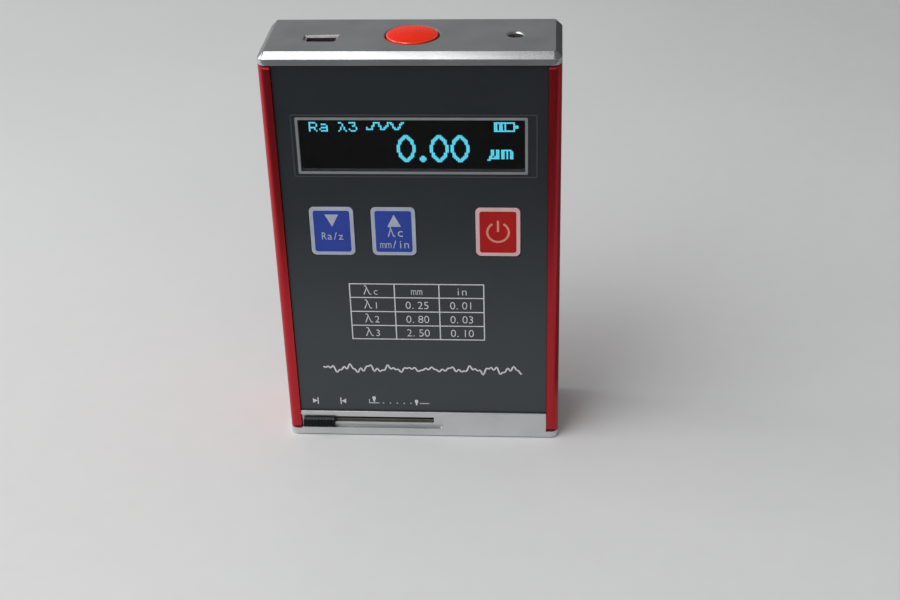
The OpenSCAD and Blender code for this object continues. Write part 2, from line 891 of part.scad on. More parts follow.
// Screws that hold the frame on its posts; the pair at the strap sits on its feet
module drive_screws() {
    color("dimgray")
        for (i = [0, 1], sy = [-1, 1]) {
            seat = frame_floor + i * strap_t;
            rod_along_z(frame_low - drive_screw_l + fit, seat + fit, drive_screw_d, post_xs[i], sy * post_y);
            rod_along_z(seat, seat + drive_head_h, drive_head_d, post_xs[i], sy * post_y);
        }
}

module lead_screw() {
    shoulder = frame_x0 + frame_t + slide_fit;
    color("lightgray") {
        rod_along_x(frame_x0, shoulder + fit, journal_d, 0, screw_z);
        rod_along_x(shoulder, coupling_mid - fit, lead_d, 0, screw_z);
    }
}

module shaft_coupling() {
    color("goldenrod") difference() {
        rod_along_x(coupling_x0, coupling_x0 + coupling_l, coupling_d, 0, screw_z);
        rod_along_x(coupling_x0 - past, coupling_mid, lead_d + 2 * press_fit, 0, screw_z);
        rod_along_x(coupling_mid - fit, coupling_x0 + coupling_l + past, shaft_d + 2 * press_fit, 0, screw_z);
    }
}

module motor_shaft() {
    color("lightgray") rod_along_x(coupling_mid + fit, gear_x0 + shaft_d - fit, shaft_d, 0, screw_z);
}

module carriage() {
    x1 = carriage_x0 + carriage_l;
    ear_in = pickup_hw + pickup_gap;
    color("dimgray") difference() {
        union() {
            span([carriage_x0, -carriage_hw, carriage_z0], [x1, carriage_hw, carriage_z1]);
            for (side = [-ear_in - ear_t, ear_in]) {
                span([pin_x - ear_hw, side, pin_z], [pin_x + ear_hw, side + ear_t, carriage_z0 + fit]);
                rod_along_y(side, side + ear_t, 2 * ear_hw, pin_x, pin_z);
            }
        }
        for (sy = [-1, 1])
            rod_along_x(carriage_x0 - past, x1 + past, rod_d + 2 * run_fit, sy * rod_y, screw_z);
        rod_along_x(carriage_x0 - past, x1 + past, nut_d + 2 * press_fit, 0, screw_z);
        rod_along_y(-ear_in - ear_t - past, ear_in + ear_t + past, pin_d + 2 * press_fit, pin_x, pin_z);
    }
}

module drive_nut() {
    color("goldenrod") difference() {
        rod_along_x(carriage_x0, carriage_x0 + carriage_l, nut_d, 0, screw_z);
        rod_along_x(
            carriage_x0 - past, carriage_x0 + carriage_l + past, lead_d + 2 * run_fit, 0, screw_z
        );
    }
}

// Pick-up

module pickup_pin() {
    half = pickup_hw + pickup_gap + ear_t;
    color("lightgray") rod_along_y(-half, half, pin_d, pin_x, pin_z);
}

module pickup_spring() {
    root_x = carriage_x0 + spring_t;
    color("lightgray") prism_y(-spring_hw, spring_hw) polygon([
        [root_x + spring_root, carriage_z0 - spring_t], [root_x, carriage_z0 - spring_t],
        [spring_touch[0], spring_touch[1] + spring_gap],
        [spring_touch[0], spring_touch[1] + spring_gap + spring_t],
        [root_x, carriage_z0], [root_x + spring_root, carriage_z0]
    ]);
}

module pickup_body() {
    color("silver") raised() difference() {
        union() {
            span([pickup_x0, -pickup_hw, pickup_z0], [pin_x, pickup_hw, pickup_z1]);
            rod_along_y(-pickup_hw, pickup_hw, pickup_boss_d, pin_x, pin_z);
        }
        rod_along_y(-pickup_hw - past, pickup_hw + past, pin_d + 2 * run_fit, pin_x, pin_z);
        // Hollow for the stylus arm, open below
        span(
            [pickup_x0 + pickup_side, -pickup_hw + pickup_side, pickup_z0 - past],
            [arm_pivot_x + hollow_end, pickup_hw - pickup_side, hollow_top]
        );
        rod_along_y(-pickup_hw - past, pickup_hw + past, trunnion_d + 2 * run_fit, arm_pivot_x, arm_z);
    }
}

module skid() {
    color("gray") raised() difference() {
        union() {
            span(
                [skid_x0 - skid_lap, -pickup_hw, pickup_z0 - skid_flange_t],
                [skid_x1 + skid_lap, pickup_hw, pickup_z0]
            );
            intersection() {
                span([skid_x0, -skid_hw, skid_z - past], [skid_x1, skid_hw, pickup_z0 - skid_flange_t + fit]);
                rod_along_y(-skid_hw, skid_hw, 2 * skid_r, (skid_x0 + skid_x1) / 2, skid_z + skid_r);
            }
        }
        rod_along_z(skid_z - past, pickup_z0 + past, skid_hole_d, trace_x, 0);
    }
}

module piezo_element() {
    color("khaki") raised()
        span([piezo_x0, -piezo_hw, hollow_top - piezo_t], [piezo_x0 + piezo_l, piezo_hw, hollow_top]);
}

module stylus_arm() {
    trunnion_hy = pickup_hw - pickup_gap;
    color("lightgray") raised() {
        span(
            [trace_x - arm_hw, -arm_hw, arm_z - arm_t / 2],
            [arm_pivot_x + arm_hw, arm_hw, arm_z + arm_t / 2]
        );
        rod_along_y(-trunnion_hy, trunnion_hy, trunnion_d, arm_pivot_x, arm_z);
        rod_along_z(tip_z + tip_h, arm_z, needle_d, trace_x, 0);
    }
}

module stylus_tip() {
    color("white") raised()
        translate([trace_x, 0, tip_z]) cylinder(h = tip_h, d1 = tip_end_d, d2 = needle_d);
}

case_sleeve();
top_cap();
bottom_cap();
front_film();
display_lens();
oled_glass();
oled_board();
display_spacers();
display_header();
main_board();
board_chips();
key_switches();
start_switch();
charge_socket();
socket_contacts();
status_lamp();
lamp_holder();
battery();
battery_pad();
drive_frame();
gearbox();
motor_can();
motor_strap();
guide_rods();
screw_bush();
drive_screws();
back_screws();
start_button();
key_down();
key_up();
key_power();
door_plate();
door_knob();
carriage();
drive_nut();
pickup_pin();
pickup_spring();
lead_screw();
shaft_coupling();
motor_shaft();
pickup_body();
skid();
piezo_element();
stylus_arm();
stylus_tip();
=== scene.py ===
import math

import bmesh
import bpy
from mathutils import Matrix, Vector


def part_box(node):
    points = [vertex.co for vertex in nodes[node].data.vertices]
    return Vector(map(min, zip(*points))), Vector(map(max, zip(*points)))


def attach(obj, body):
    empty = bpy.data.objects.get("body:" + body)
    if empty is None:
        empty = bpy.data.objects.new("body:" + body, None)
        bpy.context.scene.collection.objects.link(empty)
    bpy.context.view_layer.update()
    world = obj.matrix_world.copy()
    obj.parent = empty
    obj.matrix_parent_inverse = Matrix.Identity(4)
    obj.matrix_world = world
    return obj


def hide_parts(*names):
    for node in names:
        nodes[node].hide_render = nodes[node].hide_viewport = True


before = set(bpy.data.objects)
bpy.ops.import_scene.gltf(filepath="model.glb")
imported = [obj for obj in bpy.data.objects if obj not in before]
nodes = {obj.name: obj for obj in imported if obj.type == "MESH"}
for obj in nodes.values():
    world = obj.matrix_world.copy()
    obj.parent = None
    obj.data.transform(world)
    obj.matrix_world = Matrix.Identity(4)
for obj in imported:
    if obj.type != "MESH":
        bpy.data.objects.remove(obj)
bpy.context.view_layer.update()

scene = bpy.context.scene
mm = 0.001
print("frame loaded:", len(nodes), "solids")


def linear(hexColour):
    # sRGB hex to linear RGBA
    parts = [int(hexColour[i:i + 2], 16) / 255 for i in (1, 3, 5)]
    return tuple(p / 12.92 if p <= 0.04045 else ((p + 0.055) / 1.055) ** 2.4 for p in parts) + (1.0,)


def addNode(tree, kind, settings, links):
    # settings name a property or a socket, links name a socket
    made = tree.nodes.new(kind)
    for name, value in settings.items():
        if isinstance(name, int) or name in made.inputs:
            made.inputs[name].default_value = value
        else:
            setattr(made, name, value)
    for name, source in links.items():
        tree.links.new(source, made.inputs[name])
    return made


def perMm(size):
    # texture scale at which one feature is about this many millimetres
    return 1 / (size * mm)


# Share of the fine noise in the mixed one, and where the values of both mostly lie
noise = {"fleck": 0.35, "mixedFrom": 0.35, "mixedTo": 0.85, "fineFrom": 0.3, "fineTo": 0.7}


def finish(name, look):
    # tones: two shades, drift: mm of the slow change between them
    # grain: mm of the fine texture, depth: mm of its bump, rough: the range that it spreads over
    material = bpy.data.materials.new(name)
    material.use_nodes = True
    tree = material.node_tree
    shader = tree.nodes["Principled BSDF"]
    for socket, value in look.get("sockets", {}).items():
        shader.inputs[socket].default_value = value
    where = addNode(tree, "ShaderNodeTexCoord", {}, {})
    spread = addNode(tree, "ShaderNodeMapping", {"Scale": look.get("stretch", (1, 1, 1))},
                     {"Vector": where.outputs["Object"]})
    slow = addNode(tree, "ShaderNodeTexNoise", {"Scale": perMm(look["drift"]), "Detail": 2.0},
                   {"Vector": spread.outputs["Vector"]})
    fine = addNode(tree, "ShaderNodeTexNoise",
                   {"Scale": perMm(look["grain"]), "Detail": 3.0, "Roughness": 0.6},
                   {"Vector": spread.outputs["Vector"]})
    mixed = addNode(tree, "ShaderNodeMath", {"operation": "MULTIPLY_ADD", 1: noise["fleck"]},
                    {0: fine.outputs["Fac"], 2: slow.outputs["Fac"]})
    share = addNode(tree, "ShaderNodeMapRange",
                    {"From Min": noise["mixedFrom"], "From Max": noise["mixedTo"]},
                    {"Value": mixed.outputs[0]})
    tone = addNode(tree, "ShaderNodeMix",
                   {"data_type": "RGBA", 6: linear(look["tones"][0]), 7: linear(look["tones"][1])},
                   {0: share.outputs["Result"]})
    tree.links.new(tone.outputs[2], shader.inputs["Base Color"])
    rough = addNode(tree, "ShaderNodeMapRange",
                    {"From Min": noise["fineFrom"], "From Max": noise["fineTo"],
                     "To Min": look["rough"][0], "To Max": look["rough"][1]},
                    {"Value": fine.outputs["Fac"]})
    tree.links.new(rough.outputs["Result"], shader.inputs["Roughness"])
    bump = addNode(tree, "ShaderNodeBump", {"Strength": 1.0, "Distance": look["depth"] * mm},
                   {"Height": fine.outputs["Fac"]})
    tree.links.new(bump.outputs["Normal"], shader.inputs["Normal"])
    return material


# Dyed anodised aluminium extrusion: satin red, with faint lines drawn along its length
redAnodised = finish("red_anodised_aluminium", {
    "tones": ("#AF262D", "#BD2D35"), "drift": 2.5, "grain": 0.5, "depth": 0.003, "rough": (0.28, 0.35),
    "stretch": (1, 1, 0.04), "sockets": {"Metallic": 0.85}})
# The same dye on the sawn ends, rougher there, and drawn darker: a painted shade
sawnEndShadeAnodised = finish("red_anodised_sawn_end", {
    "tones": ("#7C2026", "#8A272D"), "drift": 2.5, "grain": 0.4, "depth": 0.006, "rough": (0.5, 0.62),
    "sockets": {"Metallic": 0.85}})
# Bead-blasted, grey anodised aluminium: an even grey with a fine sparkle; the real 0.1 mm grain is
# drawn at 0.4 mm so that it shows
greyAluminium = finish("bead_blasted_grey_aluminium", {
    "tones": ("#8F9090", "#9FA0A0"), "drift": 9, "grain": 0.4, "depth": 0.012, "rough": (0.34, 0.5),
    "sockets": {"Metallic": 1.0}})
# The same metal on the front chamfer: smooth, so it mirrors the window light, and lighter, a painted
# highlight
paintedHighlightAluminium = finish("cut_grey_aluminium", {
    "tones": ("#A0A1A2", "#ACADAE"), "drift": 9, "grain": 0.4, "depth": 0.003, "rough": (0.2, 0.28),
    "sockets": {"Metallic": 1.0}})
# Bead-blasted natural aluminium of the bottom cap and the top cap's flanks: pale and soft
paleAluminium = finish("bead_blasted_natural_aluminium", {
    "tones": ("#CBCCCE", "#D6D7D9"), "drift": 9, "grain": 0.4, "depth": 0.01, "rough": (0.34, 0.46),
    "sockets": {"Metallic": 1.0}})
# Polycarbonate overlay, printed dark grey from behind, with a velvet front
greyFilm = finish("velvet_polycarbonate_film", {
    "tones": ("#13171C", "#181C22"), "drift": 14, "grain": 0.35, "depth": 0.006, "rough": (0.34, 0.46),
    "sockets": {"IOR": 1.58, "Specular IOR Level": 0.78, "Specular Tint": (0.9, 0.97, 1.0, 1.0)}})
# The same film on the ridge over the display's edge, drawn a little lighter
lighterRidgeFilm = finish("stretched_polycarbonate_film", {
    "tones": ("#34373B", "#3B3E42"), "drift": 9, "grain": 0.35, "depth": 0.006, "rough": (0.34, 0.46),
    "sockets": {"IOR": 1.58}})
# Black display glass, polished, with a trace of dust
displayGlass = finish("black_display_glass", {
    "tones": ("#050506", "#08090A"), "drift": 8, "grain": 1.5, "depth": 0.0005, "rough": (0.06, 0.12),
    "sockets": {"IOR": 1.52}})
# FR4 board under green solder mask: glossy, with the copper pattern just showing through
circuitBoard = finish("green_solder_mask", {
    "tones": ("#0E4A25", "#17632F"), "drift": 2.5, "grain": 0.8, "depth": 0.01, "rough": (0.25, 0.4),
    "sockets": {"IOR": 1.5}})
# Turned brass: warm metal with fine rings
brass = finish("turned_brass", {
    "tones": ("#B38B3A", "#CDA450"), "drift": 3, "grain": 0.3, "depth": 0.004, "rough": (0.2, 0.34),
    "stretch": (3, 1, 1), "sockets": {"Metallic": 1.0}})
# Moulded ABS: near black, with a spark-eroded mould texture
blackPlastic = finish("moulded_black_abs", {
    "tones": ("#09090A", "#111112"), "drift": 4, "grain": 0.3, "depth": 0.012, "rough": (0.42, 0.6),
    "sockets": {"IOR": 1.53, "Specular IOR Level": 0.2}})
# The same plastic on the knob's top faces: smoother, and lighter, a painted highlight
paintedHighlightPlastic = finish("rubbed_black_abs", {
    "tones": ("#3A3D3F", "#474A4C"), "drift": 2, "grain": 0.3, "depth": 0.003, "rough": (0.22, 0.32),
    "sockets": {"IOR": 1.53}})
# Moulded polyamide of the switches: mid grey, with little gloss
switchPlastic = finish("moulded_grey_polyamide", {
    "tones": ("#7F8082", "#8E8F91"), "drift": 3, "grain": 0.3, "depth": 0.008, "rough": (0.4, 0.55),
    "sockets": {"IOR": 1.53}})
# Ground stainless steel: bright, with grinding lines along the piece
brightSteel = finish("ground_stainless_steel", {
    "tones": ("#B4B5B7", "#CBCCCE"), "drift": 2, "grain": 0.25, "depth": 0.002, "rough": (0.16, 0.3),
    "stretch": (0.1, 1, 1), "sockets": {"Metallic": 1.0}})
# Satin nickel plate of the socket's shell: warm grey, softer than the ground steel
satinNickel = finish("satin_nickel_plate", {
    "tones": ("#9C9698", "#ACA6A8"), "drift": 2, "grain": 0.25, "depth": 0.002, "rough": (0.28, 0.4),
    "sockets": {"Metallic": 1.0}})
# Smoked epoxy lamp body: clear and glossy, dark while it is off
lampResin = finish("smoked_epoxy_resin", {
    "tones": ("#5B3F3F", "#6E4A48"), "drift": 1, "grain": 0.6, "depth": 0.001, "rough": (0.04, 0.1),
    "sockets": {"IOR": 1.52, "Transmission Weight": 0.45}})
# Aluminium laminate pouch of the battery: dull silver with soft wrinkles
batteryFoil = finish("laminated_pouch_foil", {
    "tones": ("#A3A9AF", "#BCC1C6"), "drift": 5, "grain": 2.5, "depth": 0.08, "rough": (0.32, 0.48),
    "sockets": {"Metallic": 0.7}})
# Closed-cell foam tape: off-white and matt, with open cells along its cut sides
foamPad = finish("polyethylene_foam", {
    "tones": ("#CFCFC8", "#DEDED9"), "drift": 3, "grain": 0.4, "depth": 0.06, "rough": (0.8, 0.95)})
# Milled aluminium with cutter marks
milledAluminium = finish("milled_aluminium", {
    "tones": ("#A5A6A8", "#B9BABC"), "drift": 3, "grain": 0.35, "depth": 0.006, "rough": (0.25, 0.4),
    "stretch": (0.15, 1, 1), "sockets": {"Metallic": 1.0}})
# Phosphated sheet steel of the door: matt grey with a warm cast
phosphatedSteel = finish("phosphated_steel", {
    "tones": ("#6C6B5E", "#7A796C"), "drift": 3, "grain": 0.3, "depth": 0.006, "rough": (0.5, 0.65),
    "sockets": {"Metallic": 0.4}})
# Black and quite matt: a sheet on the door's strip, painted shade in the slot's upper part
slotShadeBlack = finish("black_nylon_flock", {
    "tones": ("#0B0B0A", "#131311"), "drift": 1, "grain": 0.2, "depth": 0.02, "rough": (0.85, 0.95),
    "sockets": {"Specular IOR Level": 0.1}})
# Black oxide on steel: dark, faintly blue, oily gloss
darkSteel = finish("black_oxide_steel", {
    "tones": ("#2B2C2E", "#3A3B3E"), "drift": 2, "grain": 0.3, "depth": 0.004, "rough": (0.3, 0.45),
    "sockets": {"Metallic": 1.0}})
# Injection-moulded red button: a strong, even red with little gloss on its flat top
buttonPlastic = finish("glossy_red_abs", {
    "tones": ("#E3230A", "#EC2D12"), "drift": 5, "grain": 0.8, "depth": 0.003, "rough": (0.2, 0.3),
    "sockets": {"IOR": 1.53, "Specular IOR Level": 0.03}})
# The button's rounded rim, polished by the mould
buttonRim = finish("polished_red_abs", {
    "tones": ("#DE2A14", "#E8351D"), "drift": 5, "grain": 0.8, "depth": 0.001, "rough": (0.1, 0.18),
    "sockets": {"IOR": 1.53, "Coat Weight": 1.0, "Coat Roughness": 0.08}})
# Printed key tops under the same velvet film: deep blue and red, hardly any gloss
keyBlue = finish("velvet_film_blue", {
    "tones": ("#243C94", "#2A429E"), "drift": 6, "grain": 0.35, "depth": 0.006, "rough": (0.4, 0.52),
    "sockets": {"IOR": 1.58, "Specular IOR Level": 0.22}})
keyRed = finish("velvet_film_red", {
    "tones": ("#A20506", "#AC0A0A"), "drift": 6, "grain": 0.35, "depth": 0.006, "rough": (0.4, 0.52),
    "sockets": {"IOR": 1.58, "Specular IOR Level": 0.22}})
# Polished hard metal of the skid: dark grey and mirror-like
hardMetal = finish("polished_hard_metal", {
    "tones": ("#6F7074", "#838489"), "drift": 1, "grain": 0.2, "depth": 0.001, "rough": (0.12, 0.22),
    "sockets": {"Metallic": 1.0}})
# Sintered piezo ceramic: cream and chalky
piezoCeramic = finish("sintered_ceramic", {
    "tones": ("#C9BE97", "#D8CFAD"), "drift": 1.5, "grain": 0.25, "depth": 0.01, "rough": (0.5, 0.7)})
# Ground diamond tip: clear, with a hard sparkle
diamond = finish("ground_diamond", {
    "tones": ("#E4E8EC", "#F2F4F6"), "drift": 0.3, "grain": 0.1, "depth": 0.001, "rough": (0.02, 0.08),
    "sockets": {"IOR": 2.42, "Transmission Weight": 0.8}})
# Screen-printed inks: matt and slightly uneven in cover
whiteInk = finish("white_screen_ink", {
    "tones": ("#C4C6C8", "#D6D8DA"), "drift": 3, "grain": 0.4, "depth": 0.003, "rough": (0.5, 0.65),
    "sockets": {"IOR": 1.5}})
greyInk = finish("grey_screen_ink", {
    "tones": ("#757A7D", "#808588"), "drift": 5, "grain": 0.4, "depth": 0.003, "rough": (0.45, 0.6),
    "sockets": {"IOR": 1.5}})
paleInk = finish("pale_screen_ink", {
    "tones": ("#9CA2B3", "#ABB1C0"), "drift": 4, "grain": 0.4, "depth": 0.003, "rough": (0.45, 0.6),
    "sockets": {"IOR": 1.5}})
warmInk = finish("warm_screen_ink", {
    "tones": ("#CEA6AA", "#D8B0B4"), "drift": 4, "grain": 0.4, "depth": 0.003, "rough": (0.45, 0.6),
    "sockets": {"IOR": 1.5}})
# A thin coat of that ink, through which the red below shows
thinInk = finish("thin_screen_ink", {
    "tones": ("#D48275", "#DC8B7E"), "drift": 4, "grain": 0.4, "depth": 0.003, "rough": (0.45, 0.6),
    "sockets": {"IOR": 1.5}})
# Gold flash on the socket's contacts: warm and smooth
goldFlash = finish("gold_flash", {
    "tones": ("#C99A3C", "#DDB356"), "drift": 1, "grain": 0.3, "depth": 0.001, "rough": (0.18, 0.28),
    "sockets": {"Metallic": 1.0}})
# Clear polycarbonate window, polished, with faint wiping marks
clearLens = finish("clear_polycarbonate", {
    "tones": ("#F4F6F7", "#FAFBFB"), "drift": 12, "grain": 4, "depth": 0.0004, "rough": (0.02, 0.05),
    "sockets": {"IOR": 1.58, "Transmission Weight": 1.0}})
# Lit organic pixels: an even cyan light
litPixels = finish("lit_cyan_pixels", {
    "tones": ("#2BA4BE", "#38B8D4"), "drift": 7, "grain": 0.8, "depth": 0.001, "rough": (0.4, 0.5),
    "sockets": {"Emission Color": linear("#66E0FA"), "Emission Strength": 0.95}})
print("finishes made:", len(bpy.data.materials))


def settle(bm, name, material, body, stands=(), sharp=28):
    # turns a finished bmesh into a piece that rides on a body
    mesh = bpy.data.meshes.new(name)
    bm.to_mesh(mesh)
    bm.free()
    mesh.polygons.foreach_set("use_smooth", [True] * len(mesh.polygons))
    mesh.set_sharp_from_angle(angle=math.radians(sharp))
    mesh.materials.append(material)
    piece = bpy.data.objects.new(name, mesh)
    scene.collection.objects.link(piece)
    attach(piece, body)
    if stands:
        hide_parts(*stands)
    return piece


def paintOver(piece, extras):
    # gives some faces of a piece another finish, chosen by their middle in mm and their normal
    for index, (extra, onFace) in enumerate(extras, start=1):
        piece.data.materials.append(extra)
        for face in piece.data.polygons:
            if onFace(face.center / mm, face.normal):
                face.material_index = index


# mm within which a copied solid's loose corners are one, degrees below which its faces are one
merging = {"weld": 0.002, "flat": 1}


def softened(node, look):
    # a copy of a solid with its loose triangles merged and its crisp edges broken, as a maker would
    # where: the part of the solid that is softened, extras: faces with another finish
    bm = bmesh.new()
    bm.from_mesh(nodes[node].data)
    bmesh.ops.remove_doubles(bm, verts=bm.verts, dist=merging["weld"] * mm)
    bmesh.ops.dissolve_limit(bm, angle_limit=math.radians(merging["flat"]), verts=bm.verts, edges=bm.edges)
    least = math.radians(look["angle"])
    crisp = [e for e in bm.edges if len(e.link_faces) == 2 and e.calc_face_angle() > least]
    crisp = [e for e in crisp if all(look["where"](v.co / mm) for v in e.verts)]
    bmesh.ops.bevel(bm, geom=crisp, offset=look["edge"] * mm, offset_type="OFFSET", segments=look["steps"],
                    profile=0.5, affect="EDGES", clamp_overlap=True, material=-1)
    piece = settle(bm, look["name"], look["material"], look["body"], (node,))
    paintOver(piece, look["extras"])
    even = piece.modifiers.new("evenNormals", "WEIGHTED_NORMAL")
    even.keep_sharp = True


# Sleeve: its rails and back edges are broken; the rails' upper ends are sawn and drawn darker, a painted
# shade
sleeve = {"name": "sleeve", "material": redAnodised, "body": "case", "slot": "red_anodised",
          "edge": 0.4, "steps": 3, "angle": 40,
          "railX": 31.9, "backY": 11.9, "endZ": 102.4, "endLean": 0.2, "backLean": 0.5}
sleeve["where"] = lambda p: abs(p.x) > sleeve["railX"] or p.y > sleeve["backY"]
# Painted shade: the rails' upper ends drawn in a darker red
sleeve["extras"] = ((sawnEndShadeAnodised, lambda p, n: p.z > sleeve["endZ"] and n.z > sleeve["endLean"]
                     and n.y < sleeve["backLean"]),)
softened("case_sleeve", sleeve)

# Top cap: pale flanks, and a front chamfer that is smoother and lighter, the lighter tone a painted
# highlight
topCap = {"name": "topCap", "material": greyAluminium, "body": "case", "slot": "blasted_aluminium",
          "edge": 0.12, "steps": 2, "angle": 30,
          "seamZ": 102.9, "flankX": 34, "flankY": 11, "flankZ": 103, "flankLean": 0.5,
          "cutZ": 104, "cutLeast": 0.5, "cutMost": 0.9, "cutFront": -0.3}
topCap["where"] = lambda p: p.z > topCap["seamZ"]
topCap["extras"] = (
    (paleAluminium, lambda p, n: p.z > topCap["flankZ"] and abs(n.z) < topCap["flankLean"]
     and (abs(p.x) > topCap["flankX"] or abs(p.y) > topCap["flankY"])),
    # Painted highlight: the front chamfer drawn lighter
    (paintedHighlightAluminium, lambda p, n: p.z > topCap["cutZ"] and topCap["cutLeast"] < n.z < topCap["cutMost"]
     and n.y < topCap["cutFront"]))
softened("top_cap", topCap)

# Bottom cap: a darker grey on the lower wall of the recess round the knob and along the lip's top edge,
# painted shade
bottomCap = {"name": "bottomCap", "material": paleAluminium, "body": "case", "slot": "blasted_aluminium",
             "edge": 0.1, "steps": 2, "angle": 30,
             "lipY": -10.4, "footZ": 2.3, "frontY": -11, "knobGap": 0.4, "slack": 0.1,
             "wallX": 10, "wallZ": 2.1, "wallLean": 0.5, "edgeZ": 7.0, "edgeLean": 0.2}
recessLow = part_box("door_knob")[0].z / mm - bottomCap["knobGap"]
bottomCap["where"] = lambda p: p.y < bottomCap["lipY"] or p.z < bottomCap["footZ"]
# Painted shade: darker grey on the recess's upward-facing lower wall and on the lip's top edge
bottomCap["extras"] = (
    (greyAluminium, lambda p, n: n.z > bottomCap["wallLean"] and p.y < bottomCap["frontY"]
     and bottomCap["wallZ"] < p.z < recessLow + bottomCap["slack"] and p.x < bottomCap["wallX"]),
    (greyAluminium, lambda p, n: n.z > bottomCap["edgeLean"] and p.y < bottomCap["frontY"]
     and p.z > bottomCap["edgeZ"]))
softened("bottom_cap", bottomCap)

# Start button: rounded and polished round its top
startButton = {"name": "startButton", "material": buttonPlastic, "body": "start_button",
               "slot": "button_red", "edge": 0.25, "steps": 3, "angle": 40,
               "topZ": 105, "rimLeast": 0.1, "rimMost": 0.97}
startButton["where"] = lambda p: p.z > startButton["topZ"]
startButton["extras"] = ((buttonRim, lambda p, n: p.z > startButton["topZ"]
                          and startButton["rimLeast"] < n.z < startButton["rimMost"]),)
softened("start_button", startButton)

# Door knob: lighter on its top faces, a painted highlight
doorKnob = {"name": "doorKnob", "material": blackPlastic, "body": "door", "slot": "black_plastic",
            "edge": 0.05, "steps": 2, "angle": 40, "frontY": -11.7, "topLean": 0.5}
doorKnob["where"] = lambda p: p.y < doorKnob["frontY"]
doorKnob["extras"] = ((paintedHighlightPlastic, lambda p, n: n.z > doorKnob["topLean"]),)
softened("door_knob", doorKnob)

# Key caps: the border's ink runs over their edges
keyCap = {"edge": 0.1, "steps": 2, "angle": 40, "frontY": -11.3, "frontLean": -0.98}
keyCap["where"] = lambda p: p.y < keyCap["frontY"]
for key, ground, rim, slot in (("key_down", keyBlue, paleInk, "key_blue"),
                               ("key_up", keyBlue, paleInk, "key_blue"),
                               ("key_power", keyRed, warmInk, "key_red")):
    softened(key, {**keyCap, "name": key + "_cap", "material": ground, "body": key, "slot": slot,
                   "extras": ((rim, lambda p, n: n.y > keyCap["frontLean"]),)})
print("edges broken on the outer solids")

# Drawing: steps in a rounded corner, mm within which the corners of print are one
drawing = {"roundSteps": 6, "weld": 0.0002}


def frontFace(bm, points, y):
    # one face that looks to the front
    return bm.faces.new([bm.verts.new(Vector((x, y, z)) * mm) for x, z in points])


def uprightFace(bm, x0, x1, z0, z1, y):
    return frontFace(bm, ((x0, z0), (x1, z0), (x1, z1), (x0, z1)), y)


def roundedFace(bm, x0, x1, z0, z1, y, radius):
    # an upright face with rounded corners
    face = uprightFace(bm, x0, x1, z0, z1, y)
    others = set(bm.faces) - {face}
    bmesh.ops.bevel(bm, geom=list(face.verts), offset=radius * mm, offset_type="OFFSET",
                    segments=drawing["roundSteps"], profile=0.5, affect="VERTICES", clamp_overlap=True,
                    material=-1)
    return [f for f in bm.faces if f not in others][0]


def frameFaces(bm, x0, x1, z0, z1, y, look):
    # a band of even width between two rounded outlines
    rims = []
    for step, turn in ((0, look["radius"]), (look["width"], look["inner"])):
        face = roundedFace(bm, x0 + step, x1 - step, z0 + step, z1 - step, y, turn)
        rims += face.edges
        bmesh.ops.delete(bm, geom=[face], context="FACES_ONLY")
    bmesh.ops.bridge_loops(bm, edges=rims)


def thicken(bm, depth):
    # gives print its thickness along the normals that the last operator left
    # faces drawn after that operator have no normal yet and stay flat
    bmesh.ops.solidify(bm, geom=list(bm.faces), thickness=depth * mm)
    bmesh.ops.remove_doubles(bm, verts=bm.verts, dist=drawing["weld"] * mm)
    bmesh.ops.recalc_face_normals(bm, faces=bm.faces)


def meshOf(curve):
    # the mesh that a text or a line curve gives
    maker = bpy.data.objects.new("maker", curve)
    scene.collection.objects.link(maker)
    mesh = bpy.data.meshes.new_from_object(maker.evaluated_get(bpy.context.evaluated_depsgraph_get()))
    bpy.data.objects.remove(maker)
    bpy.data.curves.remove(curve)
    return mesh


def upright(x, y, z, wide, high, deep):
    # stands a drawing up on the front: its own x to X, y to Z, and its thickness to Y
    return (Matrix.Translation(Vector((x, y, z)) * mm) @ Matrix.Rotation(math.pi / 2, 4, "X")
            @ Matrix.Diagonal((wide * mm, high * mm, deep * mm, 1)))


# The built-in alphabet: height of its capitals, and how far left of its cell's middle a point stands
alphabet = {"capitals": 0.7, "thick": 0.5, "curveSteps": 4, "pointShift": 0.25}


def letterRow(bm, text, x, z, y, look):
    # letters in even cells, as a small machine alphabet has them
    for i, letter in enumerate(text):
        curve = bpy.data.curves.new("letter", "FONT")
        curve.body = letter
        curve.extrude = alphabet["thick"]
        curve.offset = look.get("weight", 0)
        curve.resolution_u = alphabet["curveSteps"]
        mesh = meshOf(curve)
        left = min(v.co.x for v in mesh.vertices)
        right = max(v.co.x for v in mesh.vertices)
        high = look["tall"] / alphabet["capitals"]
        wide = min(high, look["widest"] / (right - left))
        cell = i - (len(text) - 1) / 2 - (alphabet["pointShift"] if letter == "." else 0)
        start = x + cell * look["pitch"] - (left + right) / 2 * wide
        mesh.transform(upright(start, y, z, wide, high, look["deep"]))
        bm.from_mesh(mesh)
        bpy.data.meshes.remove(mesh)


def lineStroke(bm, points, width, y, deep):
    # a drawn line of even width
    curve = bpy.data.curves.new("line", "CURVE")
    curve.dimensions = "3D"
    curve.bevel_depth = width / 2
    curve.bevel_resolution = 1
    curve.use_fill_caps = True
    spline = curve.splines.new("POLY")
    spline.points.add(len(points) - 1)
    for point, (x, z) in zip(spline.points, points):
        point.co = (x, z, 0, 1)
    mesh = meshOf(curve)
    mesh.transform(upright(0, y, 0, 1, 1, deep / width))
    bm.from_mesh(mesh)
    bpy.data.meshes.remove(mesh)


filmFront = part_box("front_film")[0].y / mm
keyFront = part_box("key_down")[0].y / mm

